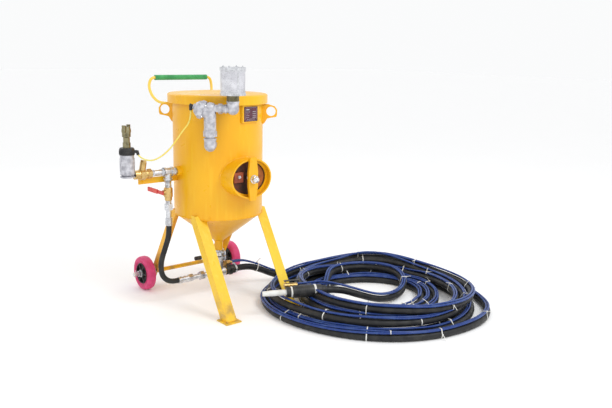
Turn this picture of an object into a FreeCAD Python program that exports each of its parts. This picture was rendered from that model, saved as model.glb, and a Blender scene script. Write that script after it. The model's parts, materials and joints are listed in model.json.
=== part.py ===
"""Portable abrasive blasting pot: pressure vessel on an angle-iron frame with wheels and handle.

Millimetres, +Z up. +X is the machine's right-hand side, -Y its front (hand hole), +Y the wheels.
Positions below are taken from the vessel's vertical axis; every part is then shifted so that the
origin is the bottom centre of the machine without its loose hoses.
"""
import FreeCAD, Part

import math
import os

V = FreeCAD.Vector
UP = V(0, 0, 1)

# Shift from the vessel's axis to the machine's bottom centre.
AXIS = V(112, 8, 0)

# Pressure vessel.
VESSEL_R = 250
WALL = 5
SEAM_Z = 502
SHELL_TOP = 1164
HEAD_RIM_Z = 1105
HEAD_DEPTH = 40
FILL_R = 55
OUTLET_R = 24
OUTLET_BORE = 16
CONE_BOTTOM_Z = 325
OUTLET_Z = 272

# Name plate: how far its backing stands from the axis, and its turn from the front.
PLATE_R = 259
PLATE_TURN = 9

# Lid.
LID_R = 276
LID_TOP = 1171
LID_SKIRT = 50
LID_SHEET = 3
LID_DOME = 12

# Frame of angle iron.
ANGLE = 63
ANGLE_T = 6
LEG_X = 203
LEG_TOP = 520
FOOT_Y = 405
LEG_SLOPE = 0.594
FOOT = 95
FOOT_T = 7
REAR_LEG_BOTTOM = 66

# Wheels.
WHEEL_R = 100
WHEEL_W = 50
WHEEL_X = 301
WHEEL_Y = 337
RIM_R = 62
AXLE_R = 12.5
AXLE_END = 372
RUNNING = 0.05

# Handle.
HANDLE_R = 8
HANDLE_X = 200
HANDLE_Y = 392
HANDLE_Z = 1241
GRIP_R = 15

# Hand hole at the front, an oval neck.
HAND_Z = 735
HAND_W = 130
HAND_H = 108
HAND_FACE = -325
NECK_T = 8
LIP = 12

# Air inlet on the left side.
INLET_Z = 758
PIPE_R = 17
PIPE_BORE = 12
TEE_X = -323
AIR_VALVE_X = -558

# Exhaust valve and silencer, in a frame turned to the vessel's wall.
EXHAUST_TURN = -40.5
EXHAUST_AT = V(-211, -247, 0)
EXHAUST_Z = 918
OUTLET_ARM_Z = 1110
BONNET_TILT = 21
SILENCER_X = 118
SILENCER_R = 63

# Blast line under the cone.
LINE_Z = 135
HOSE_D = 38
LINE_D = 11

# Hose coil beside the machine.
COIL_AT = V(634, -642, 0)
HOLLOW_AT = V(667, -602, 0)
COIL_OUTER = 648
COIL_INNER = 240
COIL_STACK_INNER = 425
COIL_STEP = 52
COIL_TOP = 101

# Nozzle end, lying on the coil: its axis from the hose towards the tip.
NOZZLE_AT = V(287, -618, 135)
NOZZLE_WAY = V(-73, 34, 0).normalize()
NOZZLE_SIDE = V(34, 73, 0).normalize()

# Lifting lugs: hole centre and the plane they stand in.
LUG_HOLE_R = 297
LUG_HOLE_Z = 1076
LUG_BORE = 26
LUG_TURN = -42

# Bores that other equipment connects to.
CLAW_BORE = 12.5
NOZZLE_BORE = 5.5

# The metering valve's plate swings about this bolt.
METER_PIVOT = V(0, 28, 0)


def save(name, shape):
    shape = shape.copy()
    shape.translate(AXIS)
    shape.exportStep(f"parts/{name}.step")


def fuse(*shapes):
    whole = shapes[0].multiFuse(list(shapes[1:]))
    return whole.removeSplitter()


def group(*shapes):
    return Part.makeCompound(list(shapes))


def rod(radius, start, end):
    way = end - start
    return Part.makeCylinder(radius, way.Length, start, way)


def pipe(outer, inner, start, end):
    return rod(outer, start, end).cut(rod(inner, start, end))


def cone(r1, r2, start, end):
    way = end - start
    return Part.makeCone(r1, r2, way.Length, start, way)


def hexagon(across, start, end):
    """A hexagonal bar, across its flats, from start to end."""
    way = end - start
    side = across / math.sqrt(3)
    points = [V(side * math.cos(math.radians(60 * k)), side * math.sin(math.radians(60 * k)), 0)
              for k in range(7)]
    bar = Part.Face(Part.makePolygon(points)).extrude(V(0, 0, way.Length))
    bar.Placement = FreeCAD.Placement(start, FreeCAD.Rotation(UP, way))
    return bar


def slab(x, y, z):
    """A box from three (low, high) pairs."""
    return Part.makeBox(x[1] - x[0], y[1] - y[0], z[1] - z[0], V(x[0], y[0], z[0]))


def lathe(profile, centre=V(0, 0, 0)):
    """A solid turned about Z from (radius, z) points."""
    points = [V(r, 0, z) for r, z in profile]
    solid = Part.Face(Part.makePolygon(points + points[:1])).revolve(V(0, 0, 0), UP, 360)
    solid.translate(centre)
    return solid


def path(points, name=None, given_radius=None):
    """Straight runs joined by tangent arcs, each as large as its runs allow."""
    edges = []
    start = points[0]
    radii = []
    for before, corner, after in zip(points, points[1:], points[2:]):
        come = corner - before
        go = after - corner
        half = come.getAngle(go) / 2
        cut = 0.45 * min(come.Length, go.Length)
        if given_radius:
            cut = given_radius * math.tan(half)
        radii.append(cut / math.tan(half))
        come.normalize()
        go.normalize()
        into = corner - come * cut
        out = corner + go * cut
        bisector = go - come
        bisector.normalize()
        radius = radii[-1]
        centre = corner + bisector * (radius / math.cos(half))
        middle = centre - bisector * radius
        edges.append(Part.LineSegment(start, into).toShape())
        edges.append(Part.Arc(into, middle, out).toShape())
        start = out
    edges.append(Part.LineSegment(start, points[-1]).toShape())
    wire = Part.Wire(edges)
    if name:
        print(f"{name}: length {wire.Length:.0f}, smallest radius {min(radii):.0f}")
    return wire


def tube(points, diameter, name=None, given_radius=None, bore=0):
    """A round bar or hose along a path."""
    wire = path(points, name, given_radius)
    way = points[1] - points[0]
    ring = Part.Wire(Part.makeCircle(diameter / 2, points[0], way))
    solid = wire.makePipeShell([ring], True, True)
    if bore:
        inner = Part.Wire(Part.makeCircle(bore / 2, points[0], way))
        solid = solid.cut(wire.makePipeShell([inner], True, True))
    if name:
        ideal = wire.Length * math.pi * diameter ** 2 / 4
        print(f"{name}: volume over section times length {solid.Volume / ideal:.4f}")
    return solid


def vessel_envelope():
    """The outside of the vessel as one solid, for trimming what is welded to it."""
    return lathe([(0, CONE_BOTTOM_Z), (OUTLET_R, CONE_BOTTOM_Z), (VESSEL_R, SEAM_Z),
                  (VESSEL_R, SHELL_TOP), (0, SHELL_TOP)])


def oval(half_width, half_height, front, back):
    """An elliptical bar along Y, centred on the hand hole."""
    ellipse = Part.Ellipse(V(0, 0, 0), half_width, half_height).toShape()
    bar = Part.Face(Part.Wire(ellipse)).extrude(V(0, 0, back - front))
    bar.rotate(V(0, 0, 0), V(1, 0, 0), 90)
    bar.translate(V(0, back, HAND_Z))
    return bar


def exhaust_place(shape):
    """From the exhaust frame (X along the wall, Y towards the vessel) to the machine."""
    placed = shape.copy()
    placed.rotate(V(0, 0, 0), UP, EXHAUST_TURN)
    placed.translate(EXHAUST_AT)
    return placed


def exhaust_entry():
    return exhaust_place(rod(21, V(0, 0, EXHAUST_Z), V(0, 120, EXHAUST_Z)))


def vessel():
    shell = pipe(VESSEL_R, VESSEL_R - WALL, V(0, 0, SEAM_Z), V(0, 0, SHELL_TOP))
    shell = shell.cut(oval(HAND_W, HAND_H, HAND_FACE, -150))
    shell = shell.cut(rod(PIPE_R, V(-300, 0, INLET_Z), V(-200, 0, INLET_Z)))
    shell = shell.cut(exhaust_entry())
    boss = pipe(27, PIPE_R, V(-272, 0, INLET_Z), V(-240, 0, INLET_Z)).cut(rod(
        VESSEL_R - 1, V(0, 0, 700), V(0, 0, 800)))
    save("vessel_shell", fuse(shell, boss, name_plate_backing()))

    rise = CONE_BOTTOM_Z
    bottom = lathe([(OUTLET_R, rise), (VESSEL_R, SEAM_Z), (VESSEL_R - WALL, SEAM_Z),
                    (OUTLET_BORE, rise + WALL), (OUTLET_BORE, OUTLET_Z), (OUTLET_R, OUTLET_Z)])
    save("vessel_cone", bottom)

    dish = HEAD_RIM_Z - HEAD_DEPTH
    head = lathe([(VESSEL_R - WALL, HEAD_RIM_Z), (VESSEL_R - WALL, HEAD_RIM_Z - 14),
                  (FILL_R, dish - 6), (FILL_R, dish), (VESSEL_R - WALL - 14, HEAD_RIM_Z)])
    save("top_head", head)
    save("fill_seal_ring", lathe([(FILL_R - 9, dish - 5), (FILL_R, dish - 5), (FILL_R, dish - 1),
                                  (FILL_R - 1, dish + 5), (FILL_R - 9, dish + 5)]))

    half = LID_R - LID_SHEET
    lid = lathe([(0, LID_TOP + LID_DOME), (LID_R * 0.5, LID_TOP + LID_DOME * 0.8),
                 (LID_R - 8, LID_TOP), (LID_R, LID_TOP - 6), (LID_R, LID_TOP - LID_SKIRT),
                 (half, LID_TOP - LID_SKIRT), (half, SHELL_TOP + 0.5), (VESSEL_R - 20, SHELL_TOP + 0.5),
                 (LID_R * 0.5, LID_TOP + LID_DOME * 0.8 - LID_SHEET), (0, LID_TOP + LID_DOME - LID_SHEET)])
    save("lid", lid)


def filling_valve():
    """The inner air pipe and the pop-up valve that it lifts against the seal ring."""
    dish = HEAD_RIM_Z - HEAD_DEPTH
    corner = V(0, 0, INLET_Z)
    pipes = tube([V(-200, 0, INLET_Z), corner, V(0, 0, 990)], 2 * PIPE_R, given_radius=45, bore=24)
    guide = pipe(21, PIPE_R, V(0, 0, 900), V(0, 0, 990))
    socket = pipe(22, PIPE_R, V(-215, 0, INLET_Z), V(-180, 0, INLET_Z))
    save("inner_air_pipe", fuse(pipes, guide, socket))

    sleeve_bore = 21 + RUNNING
    low = dish - 30
    popup = lathe([(sleeve_bore, low - 85), (26, low - 85), (26, low - 4), (FILL_R - 2, low - 2),
                   (FILL_R - 1, low + 4), (12, low + 18), (0, low + 20), (0, low - 2),
                   (sleeve_bore, low - 2)])
    save("popup_valve", popup)


def lug():
    """One lifting lug in the XZ plane, growing from the vessel's wall along +X."""
    root = 247
    points = [V(root, 0, 1000), V(262, 0, 1012), V(276, 0, 1036), V(292, 0, 1040), V(327, 0, 1046),
              V(331, 0, 1060), V(331, 0, 1085), V(318, 0, 1104), V(280, 0, 1116), V(root, 0, 1116)]
    plate = Part.Face(Part.makePolygon(points + points[:1])).extrude(V(0, 10, 0))
    plate.translate(V(0, -5, 0))
    plate = plate.cut(rod(LUG_BORE, V(LUG_HOLE_R, -20, LUG_HOLE_Z), V(LUG_HOLE_R, 20, LUG_HOLE_Z)))
    return plate


def lifting_lugs():
    lugs = []
    for turn in (LUG_TURN, LUG_TURN + 180):
        plate = lug()
        plate.rotate(V(0, 0, 0), UP, turn)
        lugs.append(plate.cut(vessel_envelope()))
    save("lifting_lugs", group(*lugs))


def name_plate_backing():
    """The raised pad that is welded to the shell behind the name plate."""
    backing = slab((-60, 60), (-PLATE_R, -VESSEL_R + 20), (1028, 1118))
    backing = backing.cut(rod(VESSEL_R - 1, V(0, 0, 900), V(0, 0, 1150)))
    backing.rotate(V(0, 0, 0), UP, PLATE_TURN)
    return backing


def name_plate():
    """A blank plate with four rivets."""
    plate = slab((-50, 50), (-PLATE_R - 2, -PLATE_R), (1034, 1112))
    rivets = [rod(3, V(x, -PLATE_R - 4, z), V(x, -PLATE_R, z)) for x in (-44, 44) for z in (1040, 1106)]
    plate = fuse(plate, *rivets)
    plate.rotate(V(0, 0, 0), UP, PLATE_TURN)
    save("name_plate", plate)


def hand_hole():
    neck = oval(HAND_W, HAND_H, HAND_FACE, -200)
    inner = oval(HAND_W - NECK_T, HAND_H - NECK_T, HAND_FACE - 5, -180)
    lip_back = HAND_FACE + 34
    lip = oval(HAND_W - 2, HAND_H - 2, lip_back - 6, lip_back)
    lip = lip.cut(oval(HAND_W - NECK_T - LIP, HAND_H - NECK_T - LIP, -400, -100))
    neck = fuse(neck.cut(inner), lip)
    neck = neck.cut(rod(VESSEL_R - WALL, V(0, 0, SEAM_Z), V(0, 0, SHELL_TOP)))
    save("hand_hole_neck", neck)

    seal = oval(HAND_W - NECK_T - 4, HAND_H - NECK_T - 4, lip_back, lip_back + 4)
    seal = seal.cut(oval(HAND_W - NECK_T - LIP - 4, HAND_H - NECK_T - LIP - 4, -400, -100))
    save("hand_hole_gasket", seal)

    cover_front = lip_back + 4
    cover = oval(HAND_W - NECK_T - 3, HAND_H - NECK_T - 3, cover_front, cover_front + 8)
    stud = rod(10, V(0, -374, HAND_Z), V(0, cover_front + 4, HAND_Z))
    save("hand_hole_cover", fuse(cover, stud))

    bar_back = HAND_FACE - 0.4
    outline = [(-30, -40), (-19, -118), (19, -118), (30, -40), (30, 40), (19, 118), (-19, 118),
               (-30, 40)]
    points = [V(x, bar_back - 14, HAND_Z + z) for x, z in outline]
    bar = Part.Face(Part.makePolygon(points + points[:1])).extrude(V(0, 14, 0))
    bore = rod(10 + RUNNING, V(0, -400, HAND_Z), V(0, -300, HAND_Z))
    save("hand_hole_crossbar", bar.cut(bore))

    nut_back = bar_back - 14.4
    nut = hexagon(38, V(0, nut_back - 22, HAND_Z), V(0, nut_back, HAND_Z))
    collar = rod(23, V(0, nut_back - 6, HAND_Z), V(0, nut_back, HAND_Z))
    dome = Part.makeSphere(18, V(0, nut_back - 22, HAND_Z))
    blind = rod(10 + RUNNING, V(0, -374.5, HAND_Z), V(0, -300, HAND_Z))
    save("hand_hole_nut", fuse(nut, collar, dome).cut(blind))


def leg(side, end, bottom):
    """An angle-iron leg with its apex outward. side is -1 or 1 along X, end -1 front or 1 rear."""
    x = side * (LEG_X + ANGLE / 2)
    y0 = end * FOOT_Y + end * ANGLE / 2
    outline = [(0, 0), (-ANGLE, 0), (-ANGLE, -ANGLE_T), (-ANGLE_T, -ANGLE_T), (-ANGLE_T, -ANGLE),
               (0, -ANGLE)]
    points = [V(x + side * u, y0 + end * (v - LEG_SLOPE * bottom), bottom) for u, v in outline]
    rise = LEG_TOP - bottom
    way = V(0, -end * LEG_SLOPE * rise, rise)
    bar = Part.Face(Part.makePolygon(points + points[:1])).extrude(way)
    return bar.cut(vessel_envelope())


def frame():
    front = []
    rear = []
    axle_hole = rod(AXLE_R + 0.1, V(-400, WHEEL_Y, WHEEL_R), V(400, WHEEL_Y, WHEEL_R))
    for side in (-1, 1):
        foot = slab((side * LEG_X - FOOT / 2, side * LEG_X + FOOT / 2),
                    (-FOOT_Y - FOOT / 2, -FOOT_Y + FOOT / 2), (0, FOOT_T))
        front.append(fuse(leg(side, -1, FOOT_T), foot))
        rear.append(leg(side, 1, REAR_LEG_BOTTOM).cut(axle_hole))
    save("front_legs", group(*front))
    save("rear_legs", group(*rear))


def wheels():
    at = V(0, WHEEL_Y, WHEEL_R)
    save("axle", rod(AXLE_R, at - V(AXLE_END, 0, 0), at + V(AXLE_END, 0, 0)))
    inner = WHEEL_X - WHEEL_W / 2
    outer = WHEEL_X + WHEEL_W / 2
    rim = lathe([(17, -26), (27, -26), (27, -6), (52, -4), (56, -21), (RIM_R, -21), (RIM_R, 21),
                 (56, 21), (52, 4), (27, 6), (27, 26), (17, 26)])
    tyre = lathe([(RIM_R, -21), (88, -25), (96, -22), (WHEEL_R, -12), (WHEEL_R, 12), (96, 22),
                  (88, 25), (RIM_R, 21)])
    bushes = group(*[lathe([(AXLE_R + RUNNING, z), (17, z), (17, z + 14), (AXLE_R + RUNNING, z + 14)])
                     for z in (-26, 12)])
    nuts = []
    for side, name in ((-1, "left"), (1, "right")):
        for part, shape in (("rim", rim), ("tyre", tyre), ("bushes", bushes)):
            turned = shape.copy()
            turned.rotate(V(0, 0, 0), V(0, 1, 0), 90 * side)
            turned.translate(at + V(side * WHEEL_X, 0, 0))
            save(f"{name}_wheel_{part}", turned)
        washer = pipe(20, AXLE_R, at + V(side * (outer + 1.4), 0, 0), at + V(side * (outer + 4), 0, 0))
        nut = hexagon(32, at + V(side * (outer + 4), 0, 0), at + V(side * (outer + 18), 0, 0))
        nut = nut.cut(rod(AXLE_R, at - V(400, 0, 0), at + V(400, 0, 0)))
        spacer = pipe(17, AXLE_R, at + V(side * (LEG_X + ANGLE / 2), 0, 0),
                      at + V(side * (inner - 1.4), 0, 0))
        nuts.extend([fuse(washer, nut), spacer])
    save("axle_nuts", group(*nuts))


def handle():
    weld = V(-163, 176, 1100)
    half = [weld, V(-198, 318, 1106), V(-204, 380, 1140), V(-214, 396, 1192)]
    left = half + [V(-HANDLE_X, HANDLE_Y, HANDLE_Z)]
    right = [V(-p.x, p.y, p.z) for p in reversed(left)]
    bar = tube(left + right, 2 * HANDLE_R)
    save("handle_tube", bar.cut(vessel_envelope()))
    grip_end = HANDLE_X - 26
    grip = pipe(GRIP_R, HANDLE_R, V(-grip_end, HANDLE_Y, HANDLE_Z), V(grip_end, HANDLE_Y, HANDLE_Z))
    save("handle_grip", grip)


def air_inlet():
    """Nipples, tee, strainer union and remote air valve, left of the vessel."""
    at = V(0, 0, INLET_Z)
    left = V(-1, 0, 0)
    nipple = pipe(PIPE_R, PIPE_BORE, at + left * 215, at + left * 306)
    second = pipe(PIPE_R, PIPE_BORE, at + left * 340, at + left * 432)
    third = pipe(PIPE_R, PIPE_BORE, V(TEE_X, 0, 672), V(TEE_X, 0, 712))
    save("inlet_nipples", group(nipple, second, third))

    tee = rod(22, at + left * 300, at + left * 346)
    tee = fuse(tee, rod(26, at + left * 296, at + left * 306), rod(26, at + left * 340, at + left * 350),
               rod(20, V(TEE_X, 0, INLET_Z), V(TEE_X, 0, 722)),
               rod(24, V(TEE_X, 0, 722), V(TEE_X, 0, 712)))
    tee = tee.cut(rod(PIPE_R, at + left * 290, at + left * 306))
    tee = tee.cut(rod(PIPE_R, at + left * 340, at + left * 360))
    tee = tee.cut(rod(PIPE_BORE, at + left * 300, at + left * 345))
    tee = tee.cut(rod(PIPE_BORE, V(TEE_X, 0, INLET_Z), V(TEE_X, 0, 700)))
    save("inlet_tee", tee)

    union = fuse(hexagon(46, at + left * 425, at + left * 446), rod(21, at + left * 446, at + left * 462),
                 hexagon(54, at + left * 462, at + left * 490), rod(24, at + left * 490, at + left * 521))
    branch_start = at + left * 478
    branch_end = branch_start + V(12, 0, 64)
    union = fuse(union, rod(17, branch_start, branch_end), hexagon(30, branch_end, branch_end + V(2, 0, 10)))
    union = union.cut(rod(PIPE_R, at + left * 420, at + left * 432))
    union = union.cut(rod(PIPE_BORE, at + left * 430, at + left * 530))
    save("inlet_union", union)

    bore = 24 + RUNNING
    body = lathe([(0, 742), (9, 744), (34, 764), (36, 772), (36, 868), (bore, 868), (bore, 788),
                  (14, 788), (14, 762), (0, 762)], V(AIR_VALVE_X, 0, 0))
    body = body.cut(rod(PIPE_BORE, at + left * 500, at + left * 548))
    body = body.cut(rod(24, at + left * 480, at + left * 521))
    save("air_valve_body", body)
    piston = lathe([(0, 792), (20, 792), (24, 796), (24, 822), (8, 822), (8, 842), (0, 842)],
                   V(AIR_VALVE_X, 0, 0))
    save("air_valve_piston", piston)
    cap = lathe([(14, 868), (39, 868), (39, 898), (34, 905), (14, 905)], V(AIR_VALVE_X, 0, 0))
    save("air_valve_cap", cap)
    top = V(AIR_VALVE_X, 0, 905)
    stack = lathe([(CLAW_BORE, 868), (14, 868), (14, 905), (20, 905), (20, 930), (17, 934), (17, 958),
                   (22, 962), (22, 984), (CLAW_BORE, 984)], V(AIR_VALVE_X, 0, 0))
    claw = lathe([(CLAW_BORE, 984), (24, 984), (24, 996), (20, 1014), (CLAW_BORE, 1014)],
                 V(AIR_VALVE_X, 0, 0))
    ears = []
    for turn in (0, 180):
        ear = slab((18, 33), (-9, 9), (986, 1012))
        hook = slab((24, 33), (-9, 9), (1008, 1022))
        ear = fuse(ear, hook)
        ear.rotate(V(0, 0, 0), UP, turn + 40)
        ear.translate(V(AIR_VALVE_X, 0, 0))
        ears.append(ear)
    claw = fuse(stack, claw, *ears).cut(rod(CLAW_BORE, top, top + V(0, 0, 140)))
    save("claw_coupling", claw)

    plate = slab((-482, -200), (28, 36), (699, 731))
    tab = slab((-461, -447), (21.3, 30), (712, 780))
    save("inlet_support", fuse(plate, tab).cut(vessel_envelope()))


def pusher_line():
    """Ball valve, pusher hose and the line under the cone."""
    at = V(TEE_X, 0, 0)
    body = lathe([(11, 602), (20, 602), (20, 616), (24, 622), (24, 666), (20, 672), (11, 672)], at)
    body = fuse(body, rod(15, at + V(-20, 0, 645), at + V(-32, 0, 645)))
    ball_seat = Part.makeSphere(16 + RUNNING, at + V(0, 0, 645))
    stem_bore = rod(6 + RUNNING, at + V(0, 0, 645), at + V(-60, 0, 645))
    body = body.cut(ball_seat).cut(stem_bore)
    save("ball_valve_body", body)
    ball = Part.makeSphere(16, at + V(0, 0, 645))
    ball = ball.cut(rod(11, at + V(0, -20, 645), at + V(0, 20, 645)))
    stem = rod(6, at + V(-12, 0, 645), at + V(-44, 0, 645))
    save("ball_valve_ball", fuse(ball, stem))
    lever_x = TEE_X - 36
    lever = slab((lever_x - 4, lever_x), (-14, 120), (635, 655))
    grip = slab((lever_x - 9, lever_x + 1), (45, 152), (633, 657))
    grip = grip.makeFillet(3, grip.Edges)
    lever = fuse(lever, grip).cut(rod(6, V(-400, 0, 645), V(-300, 0, 645)))
    save("ball_valve_lever", lever)

    upper = fuse(pipe(15, 9, at + V(0, 0, 461), at + V(0, 0, 602)),
                 hexagon(44, at + V(0, 0, 548), at + V(0, 0, 582)).cut(rod(9, at, at + V(0, 0, 700))),
                 pipe(19, 9, at + V(0, 0, 461), at + V(0, 0, 502)))
    line = V(0, 0, LINE_Z)
    lower = fuse(pipe(19, 9, line + V(-272, 0, 0), line + V(-208, 0, 0)),
                 hexagon(38, line + V(-208, 0, 0), line + V(-180, 0, 0)).cut(
                     rod(9, line + V(-300, 0, 0), line)),
                 pipe(15, 9, line + V(-180, 0, 0), line + V(-132, 0, 0)))
    save("pusher_hose_ends", group(upper, lower))

    hose = tube([at + V(0, 0, 461), at + V(0, 0, 405), V(-348, 0, 338), V(-377, 0, 264),
                 V(-377, 0, 197), V(-354, 0, 158), V(-315, 0, LINE_Z), V(-272, 0, LINE_Z)], 30, "pusher hose")
    save("pusher_hose", hose)

    tee = fuse(rod(16, line + V(-132, 0, 0), line + V(46, 0, 0)),
               hexagon(44, line + V(-132, 0, 0), line + V(-106, 0, 0)),
               rod(29, line + V(-34, 0, 0), line + V(34, 0, 0)),
               rod(25, line, V(0, 0, 176)))
    tee = tee.cut(rod(10, line + V(-140, 0, 0), line + V(60, 0, 0)))
    tee = tee.cut(rod(OUTLET_BORE, line, V(0, 0, 200)))
    save("blast_tee", tee)


def metering_valve():
    """Swing-plate valve between the cone's outlet and the tee."""
    upper = fuse(hexagon(58, V(0, 0, 258), V(0, 0, OUTLET_Z)), rod(40, V(0, 0, 240), V(0, 0, 258)))
    lower = fuse(rod(40, V(0, 0, 212), V(0, 0, 233)), rod(25, V(0, 0, 176), V(0, 0, 212)))
    pins = [rod(5, METER_PIVOT + V(0, 0, 205), METER_PIVOT + V(0, 0, 264)),
            rod(4, V(0, -33, 205), V(0, -33, 264))]
    body = fuse(upper, lower, *pins).cut(rod(OUTLET_BORE, V(0, 0, 150), V(0, 0, 300)))
    save("metering_valve_body", body)

    low = V(0, 0, 233.4)
    high = V(0, 0, 239.6)
    blank = V(-25.4, 16.2, 0)
    plate = fuse(rod(24, low, high), rod(22, blank + low, blank + high),
                 rod(12, METER_PIVOT + low, METER_PIVOT + high),
                 slab((-128, -26), (8, 24), (low.z, high.z)))
    plate = plate.cut(rod(OUTLET_BORE, low, high))
    plate = plate.cut(rod(5 + RUNNING, METER_PIVOT, METER_PIVOT + V(0, 0, 300)))
    knob = rod(11, V(-150, 16, 236.5), V(-112, 16, 236.5))
    save("metering_valve_lever", fuse(plate, knob))


def exhaust():
    """Exhaust elbow, angled valve and silencer beside the lid."""
    low = V(0, 0, EXHAUST_Z)
    elbow = fuse(rod(21, low, low + V(0, 85, 0)), rod(28, low, low + V(0, 60, 0)),
                 Part.makeSphere(31, low), rod(31, low, V(0, 0, 956)), rod(25, low, V(0, 0, 968)),
                 hexagon(62, V(0, 0, 966), V(0, 0, 996)))
    elbow = elbow.cut(rod(17, low, low + V(0, 90, 0))).cut(rod(17, low, V(0, 0, 1000)))
    entry = exhaust_place(elbow).cut(rod(VESSEL_R - WALL, V(0, 0, 800), V(0, 0, 1000)))
    save("exhaust_elbow", entry)

    tilt = math.radians(BONNET_TILT)
    way = V(-math.cos(tilt), 0, math.sin(tilt))
    seat = V(0, 0, 1088)
    arm = V(0, 0, OUTLET_ARM_Z)
    barrel = lathe([(0, 996), (31, 996), (31, 1120), (28, 1131), (20, 1139), (0, 1143)])
    body = fuse(barrel,
                rod(36, seat, seat + way * 36), rod(49, seat + way * 34, seat + way * 44),
                rod(21, arm, arm + V(48, 0, 0)), hexagon(46, arm + V(44, 0, 0), arm + V(64, 0, 0)))
    plug_bore = 22 + RUNNING
    body = body.cut(rod(17, V(0, 0, 990), seat)).cut(rod(14, seat, arm + V(70, 0, 0)))
    body = body.cut(rod(plug_bore, seat, seat + way * 50))
    save("exhaust_valve_body", exhaust_place(body))
    plug = fuse(rod(22, seat + way * 6, seat + way * 26), rod(6, seat + way * 20, seat + way * 48))
    save("exhaust_valve_plug", exhaust_place(plug))
    bonnet = fuse(rod(49, seat + way * 44, seat + way * 54), cone(46, 26, seat + way * 54, seat + way * 82),
                  hexagon(26, seat + way * 82, seat + way * 92))
    bonnet = bonnet.cut(rod(plug_bore, seat + way * 44, seat + way * 66))
    save("exhaust_valve_bonnet", exhaust_place(bonnet))

    side = V(SILENCER_X, 0, OUTLET_ARM_Z)
    outlet = fuse(rod(21, arm + V(64, 0, 0), side), Part.makeSphere(31, side),
                  rod(31, side, V(SILENCER_X, 0, 1148)))
    outlet = outlet.cut(rod(14, arm + V(60, 0, 0), side)).cut(rod(17, side, V(SILENCER_X, 0, 1160)))
    save("silencer_elbow", exhaust_place(outlet))
    base = V(SILENCER_X, 0, 0)
    save("silencer_body", exhaust_place(lathe([(17, 1148), (26, 1148), (26, 1176), (22, 1180), (22, 1184),
                                               (SILENCER_R, 1184), (SILENCER_R, 1316), (28, 1316),
                                               (28, 1200), (17, 1200)], base)))
    cap_r = SILENCER_R + 4
    bottom = lathe([(22, 1180), (cap_r, 1180), (cap_r, 1194), (SILENCER_R, 1194), (SILENCER_R, 1184),
                    (22, 1184)], base)
    top = lathe([(0, 1316), (SILENCER_R, 1316), (SILENCER_R, 1306), (cap_r, 1306), (cap_r, 1320),
                 (0, 1320)], base)
    save("silencer_caps", exhaust_place(group(bottom, top)))


def control_tube():
    """Thin tube from the exhaust valve's bonnet to the air valve's cap, with its two fittings."""
    tilt = math.radians(BONNET_TILT)
    way = V(-math.cos(tilt), 0, math.sin(tilt))
    end = V(0, 0, 1088) + way * 92
    upper = fuse(rod(8, end, end + way * 20), rod(8, end + way * 14, end + way * 14 + V(0, 0, -26)))
    upper = exhaust_place(upper)
    corner = V(0, 0, 1088) + way * 106 + V(0, 0, -26)
    turn = math.radians(EXHAUST_TURN)
    start = EXHAUST_AT + V(corner.x * math.cos(turn), corner.x * math.sin(turn), corner.z)
    before = V(-505, -36, 842)
    finish = V(-511, -32, 868)
    rise = (finish - before).normalize()
    bend = finish + rise * 18
    lower = fuse(rod(8, finish, bend + rise * 5), rod(8, V(AIR_VALVE_X, 0, bend.z), bend))
    lower = lower.cut(rod(39, V(AIR_VALVE_X, 0, 860), V(AIR_VALVE_X, 0, 910)))
    save("control_tube_fittings", group(upper, lower))
    route = [start, start - V(0, 0, 55), V(-322, -158, 992), V(-350, -138, 940), V(-388, -112, 894),
             V(-434, -80, 852), V(-480, -52, 832), before, finish]
    save("control_tube", tube(route, 8, "control tube"))


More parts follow.
